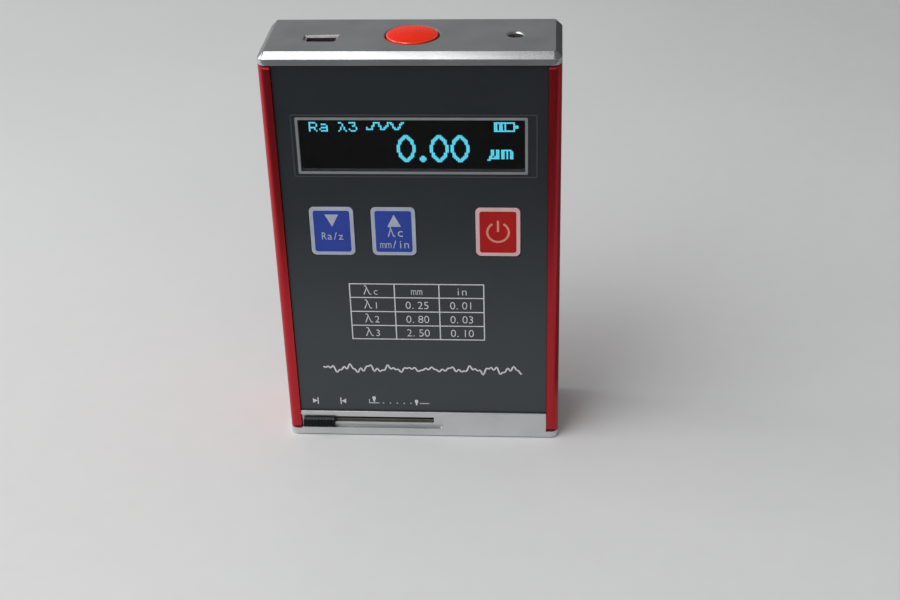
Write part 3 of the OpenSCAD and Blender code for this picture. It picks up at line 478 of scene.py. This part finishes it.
# Window frame, printed round the display, and the edge of the display below, which shows through the
# film as a low ridge
windowFrame = {"left": -27.3, "right": 27.2, "low": 75.47, "high": 89.95, "radius": 0.35, "inner": 0.1,
               "width": 0.64, "deep": 0.04}
filmRidge = {"left": -28.4, "right": 29.5, "low": 74.6, "high": 90.75, "radius": 0.5, "inner": 0.15,
             "width": 0.35, "deep": 0.05}
for name, look, material, slot in (("windowFrame", windowFrame, greyInk, None),
                                   ("filmRidge", filmRidge, lighterRidgeFilm, "grey_film")):
    bm = bmesh.new()
    y = filmFront - look["deep"] / 2
    frameFaces(bm, look["left"], look["right"], look["low"], look["high"], y, look)
    thicken(bm, look["deep"])
    settle(bm, name, material, "case")
print("window frame printed")

# Key borders and signs
keyPrint = {"halfW": 5.32, "halfH": 6.47, "width": 0.87, "radius": 1.25, "inner": 0.6, "deep": 0.03}
arrow = {"half": 1.68, "tall": 3.3}
arrowPlaces = {"key_down": {"way": -1, "drop": 1.9, "aside": 0.05},
               "key_up": {"way": 1, "drop": 5.15, "aside": 0.18}}
powerSign = {"radius": 2.6, "stroke": 0.52, "gap": 31, "steps": 48, "barLow": 0.1, "barHigh": 3.15,
             "reach": 3.4}
keyLetters = {"tall": 2.0, "pitch": 1.36, "widest": 1.2, "deep": 0.04}
keyRows = {  # letters, how far beside the key's middle, how far below its top, and their own sizes
    "key_down": (("Ra/z", 0, 8.75, {}),),
    "key_up": (("λ", -0.55, 7.85, {"tall": 2.8, "widest": 1.9}),
               ("c", 1.6, 7.85, {"tall": 2.4, "widest": 1.5}),
               ("mm/in", 0.1, 11.0, {"tall": 2.15, "pitch": 1.46, "widest": 1.3})),
    "key_power": ()}


def drawArrow(bm, midX, topZ, y, place):
    way = place["way"]
    base = topZ - place["drop"]
    tipX = midX + place["aside"]
    half = arrow["half"] * way
    frontFace(bm, ((tipX - half, base), (tipX + half, base), (tipX, base + arrow["tall"] * way)), y)


def drawPowerSign(bm, midX, midZ, y):
    # an open ring and the bar in its gap
    gap = math.radians(powerSign["gap"])
    half = powerSign["stroke"] / 2
    ends = [Vector((midX + r * math.sin(gap), y, midZ + r * math.cos(gap))) * mm
            for r in (powerSign["radius"] - half, powerSign["radius"] + half)]
    edge = bm.edges.new([bm.verts.new(end) for end in ends])
    bmesh.ops.spin(bm, geom=[edge, *edge.verts], cent=Vector((midX, y, midZ)) * mm, axis=(0, 1, 0),
                   angle=2 * math.pi - 2 * gap, steps=powerSign["steps"])
    uprightFace(bm, midX - half, midX + half, midZ + powerSign["barLow"], midZ + powerSign["barHigh"], y)


for key, rows in keyRows.items():
    low, high = (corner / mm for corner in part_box(key))
    midX = (low.x + high.x) / 2
    midZ = (low.z + high.z) / 2
    topZ = midZ + keyPrint["halfH"]
    y = keyFront - keyPrint["deep"] / 2
    bm = bmesh.new()
    frameFaces(bm, midX - keyPrint["halfW"], midX + keyPrint["halfW"], midZ - keyPrint["halfH"], topZ, y,
               keyPrint)
    if key in arrowPlaces:
        drawArrow(bm, midX, topZ, y, arrowPlaces[key])
    else:
        drawPowerSign(bm, midX, midZ, y)
    thicken(bm, keyPrint["deep"])
    for text, aside, drop, sizes in rows:
        letterRow(bm, text, midX + aside, topZ - drop, y, {**keyLetters, **sizes})
    piece = settle(bm, key + "_print", warmInk if key == "key_power" else paleInk, key)
    if key == "key_power":
        middle = Vector((midX, y, midZ))
        paintOver(piece, ((thinInk, lambda p, n: (p - middle).length < powerSign["reach"]),))
print("keys printed")

# Table of cut-off lengths
cutoffTable = {
    "columns": (-17.05, -5.9, 5.2, 16.3), "rows": (45.4, 41.5, 37.46, 33.4, 29.4),
    "line": 0.27, "deep": 0.03, "apart": 0.01, "rise": 0.85, "marks": "c123",
    "cells": (("mm", "in"), ("0.25", "0.01"), ("0.80", "0.03"), ("2.50", "0.10"))}
cellLetters = {"tall": 2.15, "pitch": 1.5, "widest": 1.25, "deep": 0.04, "weight": -0.012}
lambdaLetter = {**cellLetters, "tall": 2.5, "widest": 2.0, "aside": -1.15}
markLetter = {**cellLetters, "tall": 1.95, "aside": 0.9}
bm = bmesh.new()
columns = cutoffTable["columns"]
rows = cutoffTable["rows"]
y = filmFront - cutoffTable["deep"] / 2
half = cutoffTable["line"] / 2
inset = half + cutoffTable["apart"]
for z in rows:
    uprightFace(bm, columns[0] - half, columns[-1] + half, z - half, z + half, y)
for x in columns:
    for low, high in zip(rows[1:], rows):
        uprightFace(bm, x - half, x + half, low + inset, high - inset, y)
thicken(bm, cutoffTable["deep"])
for row, cells in enumerate(cutoffTable["cells"]):
    base = rows[row + 1] + cutoffTable["rise"]
    middle = (columns[0] + columns[1]) / 2
    letterRow(bm, "λ", middle + lambdaLetter["aside"], base, y, lambdaLetter)
    letterRow(bm, cutoffTable["marks"][row], middle + markLetter["aside"], base, y, markLetter)
    for column, cell in enumerate(cells, start=1):
        letterRow(bm, cell, (columns[column] + columns[column + 1]) / 2, base, y, cellLetters)
settle(bm, "cutoffTable", whiteInk, "case")
print("table printed")

# A drawn roughness profile across the lower panel: three waves that swell and fall together
profileTrace = {"left": -25.2, "right": 25.7, "middle": 20.4, "height": 1.5, "width": 0.42, "deep": 0.04,
                "steps": 170, "waves": ((0.5, 61, 0), (0.3, 137, 1.1), (0.28, 229, 2.3)),
                "mean": 0.75, "swell": 0.25, "swellRate": 9}
bm = bmesh.new()
trace = profileTrace
points = []
for i in range(trace["steps"] + 1):
    along = i / trace["steps"]
    swing = sum(size * math.sin(rate * along + start) for size, rate, start in trace["waves"])
    swing *= trace["mean"] + trace["swell"] * math.sin(trace["swellRate"] * along)
    points.append((trace["left"] + (trace["right"] - trace["left"]) * along,
                   trace["middle"] + trace["height"] * swing))
lineStroke(bm, points, trace["width"], filmFront, trace["deep"])
settle(bm, "profileTrace", whiteInk, "case")

# Small pictograms above the slider: tracing start and end, stylus up, stylus down
pictograms = {
    "deep": 0.03, "line": 0.28, "low": 9.3, "high": 11.35, "arrowHalf": 0.72,
    "stops": ((-27.3, -28.65), (-21.3, -19.95)),  # a bar and the back of its arrow
    "thin": 0.2, "level": 9.85, "shelfLeft": -13.95, "shelfRight": -11.3, "shelfTop": 10.95,
    "endLeft": -0.75, "endRight": 1.7,
    "dots": 5, "dot": 0.17, "dotSides": 14, "firstDot": -10.2, "dotPitch": 1.79,
    "styli": ((-12.6, 11.85), (-1.6, 10.95)),  # middle and top of each, then the right half of its outline
    "stylus": ((0.08, -1.7), (0.2, -1.5), (0.22, -1.05), (0.42, -0.8), (0.42, -0.15), (0.28, 0))}
bm = bmesh.new()
signs = pictograms
y = filmFront - signs["deep"] / 2
half = signs["line"] / 2
centre = (signs["low"] + signs["high"]) / 2
for bar, back in signs["stops"]:
    uprightFace(bm, bar - half, bar + half, signs["low"], signs["high"], y)
    way = 1 if back > bar else -1
    rise = signs["arrowHalf"]
    shape = ((bar + half * way, centre), (back, centre - rise), (back, centre + rise))
    frontFace(bm, shape[::way], y)
low = signs["level"] - signs["thin"] / 2
high = signs["level"] + signs["thin"] / 2
corner = signs["shelfLeft"] + signs["thin"]
uprightFace(bm, signs["shelfLeft"], corner, low, signs["shelfTop"], y)
uprightFace(bm, corner, signs["shelfRight"], low, high, y)
uprightFace(bm, signs["endLeft"], signs["endRight"], low, high, y)
for i in range(signs["dots"]):
    place = upright(signs["firstDot"] + signs["dotPitch"] * i, y, signs["level"], 1, 1, 1)
    bmesh.ops.create_circle(bm, cap_ends=True, segments=signs["dotSides"], radius=signs["dot"],
                            matrix=place)
outline = signs["stylus"] + tuple((-x, z) for x, z in reversed(signs["stylus"]))
for middle, top in signs["styli"]:
    frontFace(bm, [(middle + x, top + z) for x, z in outline], y)
thicken(bm, signs["deep"])
settle(bm, "pictograms", whiteInk, "case")
print("pictograms printed")

# Display: a polished window over black glass with lit pixels
window = {"halfW": 26.43, "halfH": 6.48, "radius": 0.6, "back": -10.42}
low, high = (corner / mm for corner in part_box("display_lens"))
midZ = (low.z + high.z) / 2
bm = bmesh.new()
front = roundedFace(bm, -window["halfW"], window["halfW"], midZ - window["halfH"], midZ + window["halfH"],
                    low.y, window["radius"])
grown = bmesh.ops.extrude_face_region(bm, geom=[front], use_keep_orig=True)["geom"]
bmesh.ops.translate(bm, verts=[v for v in grown if isinstance(v, bmesh.types.BMVert)],
                    vec=(0, (window["back"] - low.y) * mm, 0))
bmesh.ops.recalc_face_normals(bm, faces=bm.faces)
settle(bm, "displayWindow", clearLens, "case", ("display_lens",))

pixelGrid = {"columns": 128, "rows": 32, "pitch": 0.41, "lit": 0.37, "deep": 0.03, "middleZ": 82.8}
smallLetters = {  # a plain alphabet of dots
    "R": ("1111.", "1...1", "1...1", "1111.", "1..1.", "1...1"),
    "a": (".....", ".111.", "....1", ".1111", "1...1", ".1111"),
    "λ": ("11...", "..1..", "..1..", ".1.1.", ".1.1.", "1...1"),
    "3": ("1111.", "...1.", "..11.", "....1", "1...1", ".111."),
    "µ": ("..11.11", "..11.11", "..11.11", "..11.11", ".11.111", ".111111", "11....."),
    "m": ("111111.", "11.1.11", "11.1.11", "11.1.11", "11.1.11", "11.1.11")}
letterPlaces = (("R", 5, 2), ("a", 11, 2), ("λ", 22, 2), ("3", 28, 2), ("µ", 107, 19), ("m", 115, 19))
wave = {"first": 38, "last": 59, "start": 5, "level": 4, "swing": 2.5, "rate": 0.8}
batterySign = {"left": 111, "right": 122, "top": 2, "bottom": 7, "bars": (111, 112, 114, 115, 117, 122),
               "tip": (123, 124), "tipRows": (4, 5)}
nought = {"lefts": (55, 74, 86), "top": 10, "columns": 11, "rows": 17,
          "outer": (5.4, 8.4, 1.8), "inner": (3.6, 6.6, 1.5)}  # half width, half height, roundness
pointRows = (((69, 70), (23, 26)), ((68, 69, 70, 71), (24, 25)))
lit = set()


def light(columns, rows):
    # lights the pixels where these columns and rows cross
    lit.update((column, row) for column in columns for row in rows)


def ovalAt(across, along, shape):
    # below 1 within the oval, above 1 outside
    return (across / shape[0]) ** shape[2] + (along / shape[1]) ** shape[2]


for letter, column, row in letterPlaces:
    for j, line in enumerate(smallLetters[letter]):
        light([column + i for i, dot in enumerate(line) if dot == "1"], (row + j,))
lastRow = wave["start"]
for i, column in enumerate(range(wave["first"], wave["last"] + 1), start=1):  # a running trace
    nextRow = wave["level"] + round(wave["swing"] * math.sin(i * wave["rate"]))
    light((column,), range(min(lastRow, nextRow), max(lastRow, nextRow) + 1))
    lastRow = nextRow
light(range(batterySign["left"], batterySign["right"] + 1), (batterySign["top"], batterySign["bottom"]))
light(batterySign["bars"], range(batterySign["top"], batterySign["bottom"] + 1))
light(batterySign["tip"], batterySign["tipRows"])
for column in range(nought["columns"]):  # large noughts, each a pointed oval line on the grid
    for row in range(nought["rows"]):
        across = abs(column - (nought["columns"] - 1) / 2)
        along = abs(row - (nought["rows"] - 1) / 2)
        if ovalAt(across, along, nought["outer"]) <= 1 <= ovalAt(across, along, nought["inner"]):
            light([left + column for left in nought["lefts"]], (nought["top"] + row,))
for columns, rows in pointRows:
    light(columns, rows)
bm = bmesh.new()
grid = pixelGrid
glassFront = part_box("oled_glass")[0].y / mm
for column, row in sorted(lit):
    x = (column + 0.5 - grid["columns"] / 2) * grid["pitch"]
    z = grid["middleZ"] - (row + 0.5 - grid["rows"] / 2) * grid["pitch"]
    place = upright(x, glassFront, z, grid["lit"], grid["lit"], grid["deep"])
    bmesh.ops.create_cube(bm, size=1, matrix=place)
settle(bm, "displayPixels", litPixels, "case")
print("display lit:", len(lit), "pixels")

# Flared lip of the socket's shell, from the cap's top face down into its mouth
socketFlare = {"out": 0.15, "in": -0.15, "high": -0.06, "low": -0.66, "thick": 0.12, "corner": 1.0}
low, high = (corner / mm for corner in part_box("charge_socket"))
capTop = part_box("top_cap")[1].z / mm
bm = bmesh.new()
cut = socketFlare["corner"]
rims = []
for grow, drop in ((socketFlare["out"], socketFlare["high"]), (socketFlare["in"], socketFlare["low"])):
    left, right, front, back = low.x - grow, high.x + grow, low.y - grow, high.y + grow
    outline = ((left, back), (left, front + cut), (left + cut, front),
               (right - cut, front), (right, front + cut), (right, back))
    ring = [bm.verts.new(Vector((x, y, capTop + drop)) * mm) for x, y in outline]
    rims += [bm.edges.new((ring[i - 1], ring[i])) for i in range(len(ring))]
bmesh.ops.bridge_loops(bm, edges=rims)
bmesh.ops.recalc_face_normals(bm, faces=bm.faces)
thicken(bm, socketFlare["thick"])
settle(bm, "socketFlare", satinNickel, "case")

# Contacts on the socket's tongue
socketPins = {"count": 5, "pitch": 0.65, "wide": 0.32, "deep": 0.08, "top": 0.4, "long": 4.2}
low, high = (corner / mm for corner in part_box("socket_contacts"))
bm = bmesh.new()
pinSize = Matrix.Diagonal((socketPins["wide"] * mm, socketPins["deep"] * mm, socketPins["long"] * mm, 1))
z = high.z - socketPins["top"] - socketPins["long"] / 2
for i in range(socketPins["count"]):
    x = (low.x + high.x) / 2 + (i - (socketPins["count"] - 1) / 2) * socketPins["pitch"]
    bmesh.ops.create_cube(bm, size=1, matrix=Matrix.Translation(Vector((x, low.y, z)) * mm) @ pinSize)
settle(bm, "socketPins", goldFlash, "case")

# A black sheet on the door's strip, behind the slot's upper part: painted shade
dustFlock = {"fromKnob": -0.2, "long": 26.4, "low": 4.3, "high": 5.6, "y": -10.34, "deep": 0.06}
bm = bmesh.new()
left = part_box("door_knob")[1].x / mm + dustFlock["fromKnob"]
uprightFace(bm, left, left + dustFlock["long"], dustFlock["low"], dustFlock["high"], dustFlock["y"])
thicken(bm, dustFlock["deep"])
settle(bm, "dustFlock", slotShadeBlack, "door")
print("socket and dust strip dressed")

# Finishes of the solids that stay as they are
finishes = {
    "front_film": greyFilm, "oled_glass": displayGlass, "oled_board": circuitBoard,
    "main_board": circuitBoard, "display_spacers": brass, "screw_bush": brass, "shaft_coupling": brass,
    "drive_nut": brass, "gearbox": brass, "display_header": blackPlastic, "board_chips": blackPlastic,
    "socket_contacts": blackPlastic, "lamp_holder": blackPlastic, "carriage": blackPlastic,
    "key_switches": switchPlastic, "start_switch": switchPlastic, "charge_socket": satinNickel,
    "motor_can": brightSteel, "motor_strap": brightSteel, "guide_rods": brightSteel,
    "lead_screw": brightSteel, "motor_shaft": brightSteel, "pickup_pin": brightSteel,
    "pickup_spring": brightSteel, "stylus_arm": brightSteel, "status_lamp": lampResin,
    "battery": batteryFoil, "battery_pad": foamPad, "drive_frame": milledAluminium,
    "pickup_body": milledAluminium, "drive_screws": darkSteel, "back_screws": darkSteel,
    "door_plate": phosphatedSteel, "skid": hardMetal, "piezo_element": piezoCeramic, "stylus_tip": diamond}
for node, material in finishes.items():
    nodes[node].data.materials.clear()
    nodes[node].data.materials.append(material)
print("finishes given to", len(finishes), "solids")


def fromAbove(material):
    # clear from below, so that it is seen only from above
    tree = material.node_tree
    side = addNode(tree, "ShaderNodeNewGeometry", {}, {})
    clear = addNode(tree, "ShaderNodeBsdfTransparent", {}, {})
    choice = addNode(tree, "ShaderNodeMixShader", {},
                     {0: side.outputs["Backfacing"], 1: tree.nodes["Principled BSDF"].outputs["BSDF"],
                      2: clear.outputs["BSDF"]})
    tree.links.new(choice.outputs["Shader"], tree.nodes["Material Output"].inputs["Surface"])
    return material


def setOut(bm, name, material):
    # puts a finished bmesh on the stage
    mesh = bpy.data.meshes.new(name)
    bm.to_mesh(mesh)
    bm.free()
    mesh.materials.append(material)
    prop = bpy.data.objects.new(name, mesh)
    scene.collection.objects.link(prop)
    return prop


# Floor: a pale grey table top, open under the part so that its base gets light as well; places in metres
floorPlan = {"half": 3.0, "farCorner": 1.0, "margin": 0.0009, "corner": 0.0009, "z": -0.00001}
floorLook = {"tones": ("#D2D2D1", "#D8D8D7"), "drift": 180, "grain": 6, "depth": 0.01, "rough": (0.5, 0.6)}
bm = bmesh.new()
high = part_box("bottom_cap")[1]
rings = []
for x, y, cut in ((floorPlan["half"], floorPlan["half"], floorPlan["farCorner"]),
                  (high.x - floorPlan["margin"], high.y - floorPlan["margin"], floorPlan["corner"])):
    outline = ((-x, cut - y), (cut - x, -y), (x - cut, -y), (x, cut - y),
               (x, y - cut), (x - cut, y), (cut - x, y), (-x, y - cut))
    rings.append([bm.verts.new((*point, floorPlan["z"])) for point in outline])
outer, inner = rings
for i in range(len(outer)):
    bm.faces.new((outer[i - 1], outer[i], inner[i], inner[i - 1]))
setOut(bm, "tableTop", fromAbove(finish("painted_table_top", floorLook)))

# Room light: even and pale, a little darker overhead and away from the window
room = {"low": "#C6C7C8", "high": "#A4A6A8", "top": 0.9, "window": 1.42, "away": 0.34}
world = bpy.data.worlds.new("room")
scene.world = world
world.use_nodes = True
tree = world.node_tree
where = addNode(tree, "ShaderNodeTexCoord", {}, {})
split = addNode(tree, "ShaderNodeSeparateXYZ", {}, {"Vector": where.outputs["Generated"]})
climb = addNode(tree, "ShaderNodeMapRange", {"From Min": 0.0, "From Max": room["top"]},
                {"Value": split.outputs["Z"]})
sky = addNode(tree, "ShaderNodeMix", {"data_type": "RGBA", 6: linear(room["low"]), 7: linear(room["high"])},
              {0: climb.outputs["Result"]})
tree.links.new(sky.outputs[2], tree.nodes["Background"].inputs["Color"])
across = addNode(tree, "ShaderNodeMapRange",
                 {"From Min": -1.0, "From Max": 1.0, "To Min": room["window"], "To Max": room["away"]},
                 {"Value": split.outputs["X"]})
tree.links.new(across.outputs["Result"], tree.nodes["Background"].inputs["Strength"])

# Dark and grey sheets, seen only in the part's gloss, painted reflections of shade: dark on the table in
# front and hung up behind on the right, grey on the table at the right; places in metres
shadeReflectionLook = {"tones": ("#333333", "#3A3A3A"), "drift": 40, "grain": 2, "depth": 0.05, "rough": (0.9, 1.0),
             "sockets": {"Specular IOR Level": 0.1}}
darkShadeReflection = fromAbove(finish("dark_cloth", shadeReflectionLook))
greyShadeReflection = fromAbove(finish("grey_cloth", {**shadeReflectionLook, "tones": ("#757575", "#7D7D7D")}))
shadeReflections = {
    "frontCloth": (darkShadeReflection, ((-1, -1.2, 0.0002), (1, -1.2, 0.0002), (1, -0.105, 0.0002),
                               (-1, -0.105, 0.0002))),
    "sideCloth": (darkShadeReflection, ((0.09, 0.5, 0.02), (0.42, 0.5, 0.02), (0.42, 0.5, 0.26), (0.09, 0.5, 0.26))),
    "rightCloth": (greyShadeReflection, ((0.055, -0.03, 0.0003), (0.3, -0.03, 0.0003), (0.3, 0.25, 0.0003),
                               (0.055, 0.25, 0.0003)))}
for name, (material, corners) in shadeReflections.items():
    bm = bmesh.new()
    bm.faces.new([bm.verts.new(corner) for corner in corners])
    reflectionSheet = setOut(bm, name, material)
    reflectionSheet.visible_camera = False
    reflectionSheet.visible_diffuse = False
    reflectionSheet.visible_shadow = False

# Soft window light from the front left and a lesser one from the left, aimed at the part's lower half
lampAim = Vector((0, 0, 0.05))
lamps = ({"name": "windowLight", "place": (-0.42, -0.40, 0.82), "size": 0.7, "power": 6.0},
         {"name": "leftLight", "place": (-0.85, 0.05, 0.5), "size": 0.4, "power": 2.2})
for lamp in lamps:
    lampData = bpy.data.lights.new(lamp["name"], "AREA")
    lampData.shape = "SQUARE"
    lampData.size = lamp["size"]
    lampData.energy = lamp["power"]
    holder = bpy.data.objects.new(lamp["name"], lampData)
    scene.collection.objects.link(holder)
    holder.location = lamp["place"]
    holder.rotation_euler = (lampAim - Vector(lamp["place"])).to_track_quat("-Z", "Y").to_euler()

# Camera, solved from the edges of the body in the picture: place in mm, turn in radians, focal length in
# pixels
view = {"place": (33.173, -331.240, 228.196), "turn": (0.528853, -0.008451, -0.069115), "focal": 1496.534,
        "imageWidth": 900, "sensor": 36, "nearest": 0.01}
turn = Vector(view["turn"])
axes = Matrix.Rotation(turn.length, 3, turn.normalized())
camera = bpy.data.cameras.new("camera")
camera.sensor_width = view["sensor"]
camera.lens = view["focal"] / view["imageWidth"] * view["sensor"]
camera.clip_start = view["nearest"]
cameraHolder = bpy.data.objects.new("camera", camera)
scene.collection.objects.link(cameraHolder)
cameraHolder.matrix_world = (Matrix.Translation(Vector(view["place"]) * mm)
                             @ Matrix((axes[0], axes[2], -axes[1])).transposed().to_4x4())
scene.camera = cameraHolder
scene.view_settings.view_transform = "Standard"
print("floor, light and camera set")
